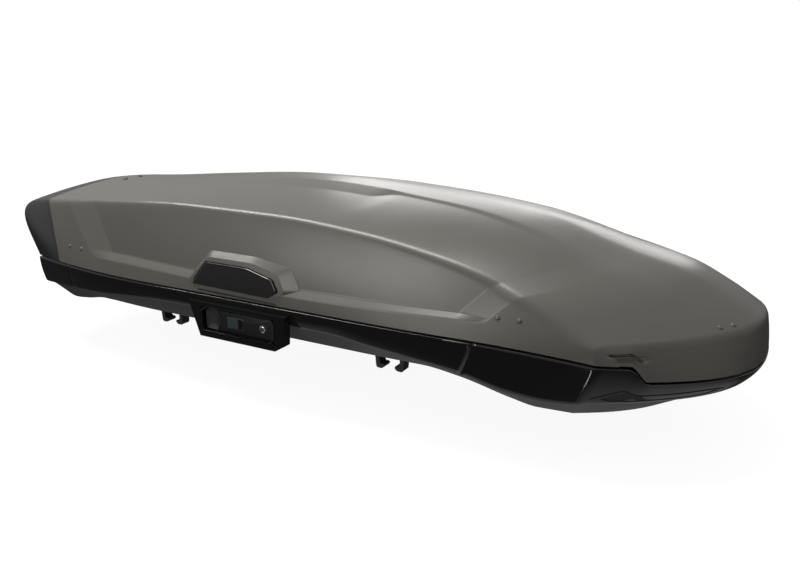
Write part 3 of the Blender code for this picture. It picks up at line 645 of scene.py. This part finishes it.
def make_tub():
    along, across = 100, 40
    top, skirt, edge = (loop(level, along, across) for level in (TUB_TOP, TUB_SKIRT, TUB_EDGE))
    rows = [[a.lerp(b, s) for a, b in zip(top, skirt)] for s in sweep(0, 1, 5)]
    for s in (0.06, 0.3, 0.6, 0.9, 0.95):
        rows.append([a.lerp(b, s) for a, b in zip(skirt, edge)])
    rows.append(edge)
    count = len(edge)
    points = [point for row in rows for point in row]
    faces = []
    for i in range(len(rows) - 1):
        for k in range(count):
            nxt = (k + 1) % count
            faces.append((i * count + k, (i + 1) * count + k, (i + 1) * count + nxt, i * count + nxt))
    start = (len(rows) - 1) * count
    table = {}
    for j in range(along + 1):
        table[(j, 0)] = start + j
        table[(j, across)] = start + 2 * along + across - j
    for i in range(1, across):
        table[(along, i)] = start + along + i
        table[(0, i)] = start + count - i
    for j in range(1, along):
        near_nose = smooth((j / along - 0.84) / 0.16)
        for i in range(1, across):
            u = mix(-1, 1, i / across)
            side = edge[j]
            x = side.x + near_nose * (TUB_EDGE.nose_x - TUB_EDGE.corner) * (1 - abs(u) ** TUB_EDGE.power)
            rise = near_nose * (TUB_EDGE.nose_height(u) - TUB_EDGE.nose_height(1))
            table[(j, i)] = len(points)
            points.append(Vector((x, u * abs(side.y), side.z + rise)))
    for j in range(along):
        for i in range(across):
            faces.append((table[(j, i)], table[(j, i + 1)], table[(j + 1, i + 1)], table[(j + 1, i)]))
    made = piece("tub_fine", raise_seam(points), faces, "tub", "base", ("base_shell",), sharp=30)
    shell(made)


# ---- Badge, lock and rivets ----------------------------------------------------------------------
def wall_y(x, z):
    """Distance of the lid's wall from the middle, outside its recess, at a height above the seam."""
    top = through(CREASE, x)
    h = clamp01(z / top)
    return mix(half_width(x) - 0.001, half_width(x) - TUMBLEHOME * top, h) + WALL_BULGE * 4 * h * (1 - h)


def make_badge(side, sign):
    """The raised frame on the side panel, with a plate in its pocket and, under it, a thin near-black strip
    that is painted shade for the groove there.
    """
    def on_wall(path, lift):
        return [Vector((x, sign * (wall_y(x, z) + lift), z)) for x, z in path]

    outer = [(-0.360, 0.034), (-0.289, 0.1150), (-0.133, 0.1150), (-0.016, 0.0985),
             (0.020, 0.044), (-0.008, 0.030)]
    crown = [(-0.350, 0.033), (-0.284, 0.1010), (-0.137, 0.1010), (-0.050, 0.0840),
             (-0.024, 0.040), (-0.042, 0.024)]
    edge = [(-0.343, 0.0205), (-0.295, 0.0895), (-0.152, 0.0895), (-0.062, 0.0690),
             (-0.041, 0.037), (-0.071, 0.0145)]
    plate = [(-0.336, 0.0235), (-0.293, 0.0865), (-0.153, 0.0865), (-0.065, 0.0665),
             (-0.046, 0.038), (-0.074, 0.0185)]
    counts = [max(2, round((Vector(b) - Vector(a)).length / 0.012))
              for a, b in zip(outer, outer[1:] + outer[:1])]

    def ring(corners, radius):
        """Corners rounded, with the same number of points on each loop."""
        path = rounded(corners, radius)
        points = []
        for k, count in enumerate(counts):
            points += path[5 * k:5 * k + 5]
            a, b = path[5 * k + 4], path[(5 * k + 5) % len(path)]
            points += [a.lerp(b, j / count) for j in range(1, count)]
        return points

    loops = [on_wall(ring(outer, 0.010), -0.0135), on_wall(ring(outer, 0.010), -0.0105),
             on_wall(ring(crown, 0.010), 0.0006), on_wall(ring(crown, 0.009), 0.0014),
             on_wall(ring(edge, 0.008), 0.0014), on_wall(ring(edge, 0.007), 0.0006),
             on_wall(ring(edge, 0.007), -0.0040)]
    made = stacked("badge_frame_" + side, loops, "lid", "lid", sharp=30)
    soften(made, 0.0008, 2, 25)
    inset = [mix(Vector(corner), Vector((-0.19, 0.053)), 0.025) for corner in plate]
    loops = [on_wall(ring(plate, 0.006), -0.0045), on_wall(ring(plate, 0.006), 0.0022),
             on_wall(ring([tuple(c) for c in inset], 0.006), 0.0036)]
    made = stacked("badge_face_" + side, loops, "gloss", "lid", ("badge_plate_" + side,), sharp=30)
    soften(made, 0.0006, 2, 20)
    # Painted shade: a thin near-black strip standing a little out from the wall where the groove under the
    # plate looks dark; the groove itself is not cut.
    shaded_groove = [(-0.318, 0.0085), (-0.312, 0.0125), (-0.052, 0.0085), (-0.046, 0.0045), (-0.052, 0.0035),
              (-0.310, 0.0075)]
    path = fine(rounded(shaded_groove, 0.002, 2), 0.02)
    loops = [on_wall(path, -0.0020), on_wall(path, 0.0007)]
    stacked("badge_groove_shade_" + side, loops, "cap", "lid", sharp=30)


def flat(path, sign, y):
    return [Vector((x, sign * y, z)) for x, z in path]


def disc(centre, radius, steps=32):
    return [Vector((centre[0] + radius * math.cos(2 * math.pi * k / steps),
                    centre[1] + radius * math.sin(2 * math.pi * k / steps))) for k in range(steps)]


def grown(path, middle, share):
    return [mix(Vector(point), Vector(middle), -share) for point in path]


def make_lock(side, sign):
    """Bezel, finger scoop, slider with grip and window, and the key's disc with a flat near-black sheet on
    it, painted shade for its slot.
    """
    opening = [(-0.272, -0.0305), (-0.2905, -0.0420), (-0.2895, -0.0975), (-0.0620, -0.0975),
               (-0.0465, -0.0850),
               (-0.0465, -0.0400), (-0.0600, -0.0305)]
    middle = (-0.168, -0.064)
    path = rounded(opening, 0.005)
    wide = rounded([(mix(x, middle[0], -0.022), mix(z, middle[1], -0.085)) for x, z in opening], 0.007)
    bezel_loops = [flat(path, sign, 0.4185), flat(path, sign, 0.4368),
                   flat(grown(path, middle, 0.010), sign, 0.4375),
                   flat(wide, sign, 0.4370), flat(wide, sign, 0.4350), flat(wide, sign, 0.4345)]
    count = len(path)
    points = [point for one in bezel_loops for point in one]
    faces = grid_faces(len(bezel_loops), count, close=True)
    made = piece("lock_bezel_" + side, raise_seam(points), faces, "gloss", "base", sharp=30)
    outward(made)
    shell(made, 0.0008)
    scoop = [(-0.2890, -0.0960), (-0.2890, -0.0430), (-0.2700, -0.0320), (-0.2440, -0.0320),
             (-0.2440, -0.0960)]
    path = rounded(scoop, 0.004)
    loops = [flat(path, sign, 0.4168), flat(path, sign, 0.4210),
             flat(grown(path, (-0.266, -0.064), -0.25), sign, 0.4178),
             flat(grown(path, (-0.266, -0.064), -0.6), sign, 0.4172)]
    stacked("finger_scoop_" + side, loops, "dark", "base", sharp=60)
    body = rounded([(-0.2405, -0.0365), (-0.2415, -0.0915), (-0.0520, -0.0915), (-0.0520, -0.0365)], 0.004)
    centre = (-0.147, -0.064)
    loops = [flat(body, sign, 0.4214), flat(body, sign, 0.4282),
             flat(grown(body, centre, -0.02), sign, 0.4296),
             flat(grown(body, centre, -0.05), sign, 0.4299)]
    stacked("slider_face_" + side, loops, "cap", "slider_" + side, ("slider_" + side,), sharp=30)
    bow = [(-0.2385 + 0.010 * (1 - s * s), mix(-0.064, -0.089, s)) for s in sweep(-1, 1, 12)]
    back = [(x - 0.0035, z) for x, z in reversed(bow)]
    loops = [flat(bow + back, sign, 0.4294), flat(bow + back, sign, 0.4322)]
    made = stacked("slider_grip_" + side, loops, "dark", "slider_" + side, sharp=30)
    soften(made, 0.0006, 2, 50)
    window = rounded([(-0.2050, -0.0490), (-0.2050, -0.0790), (-0.1500, -0.0790), (-0.1500, -0.0490)], 0.003)
    loops = [flat(window, sign, 0.4299), flat(window, sign, 0.4312),
             flat(grown(window, (-0.1775, -0.064), -0.04), sign, 0.4317)]
    stacked("window_" + side, loops, "lens", "slider_" + side, ("lens_" + side,), sharp=30)
    shade = rounded([(-0.1680, -0.0505), (-0.1680, -0.0775), (-0.1515, -0.0775), (-0.1515, -0.0505)], 0.002)
    loops = [flat(shade, sign, 0.4313), flat(shade, sign, 0.43185)]
    stacked("window_shade_" + side, loops, "gloss", "slider_" + side, sharp=30)
    hub = (-0.085, -0.064)
    collar = disc(hub, 0.0125)
    loops = [flat(collar, sign, 0.4297), flat(collar, sign, 0.4306), flat(disc(hub, 0.0105), sign, 0.4312)]
    stacked("key_collar_" + side, loops, "dark", "slider_" + side, sharp=40)
    loops = [flat(disc(hub, 0.0090), sign, 0.4306), flat(disc(hub, 0.0090), sign, 0.4346),
             flat(disc(hub, 0.0083), sign, 0.4352), flat(disc(hub, 0.0060), sign, 0.43525)]
    stacked("key_disc_" + side, loops, "chrome", "key_" + side, ("key_cylinder_" + side,), sharp=40)
    # Painted shade: the key's slot is a flat near-black sheet on the disc, where the keyway's depth would
    # look dark; no hole is cut.
    slit_shade = [(-0.0050, -0.0009), (0.0050, -0.0009), (0.0050, 0.0009), (-0.0050, 0.0009)]
    turn = Matrix.Rotation(math.radians(48), 2)
    slit_shade = [Vector(hub) + turn @ Vector(point) for point in slit_shade]
    loops = [flat(slit_shade, sign, 0.4350), flat(slit_shade, sign, 0.43535)]
    stacked("key_slot_shade_" + side, loops, "rubber", "key_" + side, sharp=40)


def surface_of(made):
    mesh = made.data
    return BVHTree.FromPolygons([v.co for v in mesh.vertices], [tuple(f.vertices) for f in mesh.polygons])


def make_rivets(name, tree, shots, radius, height, paint, body):
    """Domed heads where each shot, a start and a direction, meets the surface."""
    points, faces = [], []
    steps, rows = 20, ((1.0, -0.4), (1.0, 0.18), (0.86, 0.55), (0.55, 0.86), (0.2, 0.985))
    for start, way in shots:
        hit, normal, _, _ = tree.ray_cast(Vector(start), Vector(way))
        if hit is None:
            continue
        if normal.dot(Vector(way)) > 0:
            normal = -normal
        turn = Vector((0, 0, 1)).rotation_difference(normal).to_matrix()
        first = len(points)
        for wide, high in rows:
            for k in range(steps):
                a = 2 * math.pi * k / steps
                spot = Vector((radius * wide * math.cos(a), radius * wide * math.sin(a), height * high))
                points.append(hit + turn @ spot)
        for i in range(len(rows) - 1):
            for k in range(steps):
                n = (k + 1) % steps
                faces.append(tuple(first + i * steps + j for j in (k, n)) +
                             tuple(first + (i + 1) * steps + j for j in (n, k)))
        faces.append(tuple(first + (len(rows) - 1) * steps + k for k in range(steps)))
        faces.append(tuple(first + k for k in range(steps))[::-1])
    piece(name, points, faces, paint, body, sharp=50)


def make_intake(side, sign):
    """A six-sided rim round a shallow intake, low on the nose trim."""
    corners = [(0.985, 0.86), (0.91, 0.60), (0.62, 0.52), (0.53, 0.64), (0.62, 0.88), (0.95, 0.96)]

    def on_trim(path, lift):
        points = []
        for s, h in path:
            top = level_at(0.0, RIM_EDGE - 0.0014).point("nose", sign * s)
            low = skirt_level(0.010).point("nose", sign * s)
            away = Vector((top.x - low.x, top.y - low.y, 0)).normalized()
            out = Vector((top.x - 0.4, top.y, 0)).normalized()
            points.append(top.lerp(low, h) + away * SKIRT_BULGE * 4 * h * (1 - h) + out * lift)
        return points

    path = fine(rounded(corners, 0.03, 2), 0.02)
    inner = [mix(Vector(point), Vector((0.76, 0.74)), 0.12) for point in path]
    loops = [on_trim(path, -0.001), on_trim(path, 0.0016), on_trim(inner, 0.0018), on_trim(inner, 0.0004)]
    made = stacked("intake_" + side, loops, "gloss", "base", sharp=25)
    made.data.materials.append(PAINT["rubber"])
    made.data.polygons[len(made.data.polygons) - 1].material_index = 1


def make_all_rivets(lid, cap):
    on_lid, on_cap = surface_of(lid), surface_of(cap)
    rows = ((-0.880, 0.056), (-0.819, 0.056), (0.55, 0.060), (0.60, 0.060))
    side = [((x, sign * 0.6, SEAM_Z + z), (0, -sign, 0)) for x, z in rows for sign in (-1, 1)]
    make_rivets("side_rivets", on_lid, side, *RIVET_HEAD, "lid", "lid")
    nose = [((1.3, sign * y, SEAM_Z + 0.047), (-1, 0, 0)) for y in (0.176, 0.143) for sign in (-1, 1)]
    make_rivets("nose_rivets", on_lid, nose, *RIVET_HEAD, "lid", "lid")
    top = [((-0.990, y, SEAM_Z + 0.5), (0, 0, -1)) for y in (-0.034, 0.034)]
    make_rivets("top_rivets", on_lid, top, 0.0085, 0.0050, "cap", "lid")
    rear = [((-1.4, y, SEAM_Z + 0.125), (1, 0, 0)) for y in (-0.27, 0.27)]
    make_rivets("cap_rivets", on_cap, rear, 0.0055, 0.0022, "steel", "lid")


# ---- Kept frame nodes ----------------------------------------------------------------------------
KEPT = {"rim_seal": "rubber", "clamp_foot": "rubber", "floor_rail": "dark", "clamp_housing": "dark",
        "claw_": "dark", "strut_bracket": "dark", "strut_tube": "dark", "strut_rod": "steel",
        "right_hinge": "steel", "left_hinge": "steel", "latch_bar": "steel", "lid_beam": "dark",
        "badge_plate": "gloss", "lock_housing": "gloss", "slider": "gloss", "lens": "lens",
        "key_cylinder": "chrome", "clamp_knob": "knob", "floor_liner": "felt"}


def dress_kept_nodes():
    for name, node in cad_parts.items():
        if node.hide_render:
            continue
        paint = next(paint for start, paint in KEPT.items() if name.startswith(start))
        node.data.materials.clear()
        node.data.materials.append(PAINT[paint])
        if name.startswith(("claw_", "strut_bracket", "lid_beam")):
            soften(node, 0.0012)
        if name.startswith("lock_housing"):
            soften(node, 0.0016, 3, 30)


# ---- Studio --------------------------------------------------------------------------------------
def make_floor():
    """A pale floor that the camera sees and the object doesn't reflect."""
    mesh = bpy.data.meshes.new("floor")
    mesh.from_pydata([(-30, -30, 0), (30, -30, 0), (30, 30, 0), (-30, 30, 0)], [], [(0, 1, 2, 3)])
    floor = bpy.data.objects.new("floor", mesh)
    floor.location.z = -0.12
    bpy.context.scene.collection.objects.link(floor)
    paint = material("pale_floor", (0.12, 0.12, 0.12), 0.9, spread=0.01, scale=2.0)
    shader = paint.node_tree.nodes["Principled BSDF"]
    shader.inputs["Specular IOR Level"].default_value = 0.0
    shader.inputs["Emission Color"].default_value = (1.0, 1.0, 1.0, 1.0)
    shader.inputs["Emission Strength"].default_value = 0.92
    mesh.materials.append(paint)
    floor.visible_diffuse = floor.visible_glossy = floor.visible_shadow = False


def area_light(name, place, target, size, power):
    light = bpy.data.lights.new(name, "AREA")
    light.shape = "RECTANGLE"
    light.size, light.size_y = size
    light.energy = power
    lamp = bpy.data.objects.new(name, light)
    lamp.location = Vector(place) + Vector((BASE_MIDDLE_X, 0, 0))
    lamp.rotation_euler = (Vector(target) - Vector(place)).to_track_quat("-Z", "Y").to_euler()
    bpy.context.scene.collection.objects.link(lamp)


def make_world():
    """White to the camera; to the object a soft sky, dark below the horizon."""
    world = bpy.data.worlds.new("studio")
    world.use_nodes = True
    nodes, links = world.node_tree.nodes, world.node_tree.links
    seen = nodes["Background"]
    seen.inputs["Color"].default_value = (1.0, 1.0, 1.0, 1.0)
    seen.inputs["Strength"].default_value = 1.0
    sky = nodes.new("ShaderNodeBackground")
    direction = nodes.new("ShaderNodeTexCoord")
    split = nodes.new("ShaderNodeSeparateXYZ")
    ramp = nodes.new("ShaderNodeValToRGB")
    height = nodes.new("ShaderNodeMapRange")
    height.inputs["From Min"].default_value = -1.0
    stops = ((0.0, 0.80), (0.10, 0.55), (0.19, 0.05), (0.47, 0.04), (0.56, 0.42), (0.75, 0.62), (1.0, 0.75))
    while len(ramp.color_ramp.elements) < len(stops):
        ramp.color_ramp.elements.new(0.5)
    for element, (place, level) in zip(ramp.color_ramp.elements, stops):
        element.position = place
        element.color = (level, level, level * 1.01, 1.0)
    links.new(direction.outputs["Generated"], split.inputs["Vector"])
    links.new(split.outputs["Z"], height.inputs["Value"])
    links.new(height.outputs["Result"], ramp.inputs["Fac"])
    links.new(ramp.outputs["Color"], sky.inputs["Color"])
    ray = nodes.new("ShaderNodeLightPath")
    choice = nodes.new("ShaderNodeMixShader")
    links.new(ray.outputs["Is Camera Ray"], choice.inputs["Fac"])
    links.new(sky.outputs["Background"], choice.inputs[1])
    links.new(seen.outputs["Background"], choice.inputs[2])
    links.new(choice.outputs["Shader"], nodes["World Output"].inputs["Surface"])
    bpy.context.scene.world = world


def make_studio():
    make_world()
    bpy.context.scene.view_settings.view_transform = "Standard"
    area_light("overhead", (-1.1, -0.25, 3.0), (0, 0, 0.2), (0.5, 3.4), 125)
    area_light("side_fill", (-1.5, -4.1, 1.4), (-0.6, 0, 0.15), (1.7, 1.2), 48)
    area_light("rear_rim", (-0.6, 3.6, 1.6), (0, 0, 0.3), (3.6, 0.8), 45)
    area_light("low_strip", (1.02, -3.5, -1.2), (0.76, -0.38, 0.09), (0.07, 1.8), 7)


def make_camera():
    data = bpy.data.cameras.new("camera")
    data.sensor_width, data.lens = 36.0, 34.2
    camera = bpy.data.objects.new("camera", data)
    bpy.context.scene.collection.objects.link(camera)
    azimuth, elevation, distance = math.radians(28.771), math.radians(16.379), 2.26
    target = Vector((0.088 + BASE_MIDDLE_X, 0.0, 0.133))
    back = Vector((math.sin(azimuth) * math.cos(elevation), -math.cos(azimuth) * math.cos(elevation),
                   math.sin(elevation)))
    camera.location = target + back * distance
    camera.rotation_euler = (-back).to_track_quat("-Z", "Y").to_euler()
    bpy.context.scene.camera = camera


lid_piece = make_lid()
cap_piece = make_cap()
for side_name, side_sign in (("right", -1), ("left", 1)):
    make_badge(side_name, side_sign)
    make_lock(side_name, side_sign)
    make_intake(side_name, side_sign)
make_all_rivets(lid_piece, cap_piece)
make_trims()
make_tub()
dress_kept_nodes()
for cutter in CUTTERS:
    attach(cutter, "base")
make_floor()
make_studio()
make_camera()
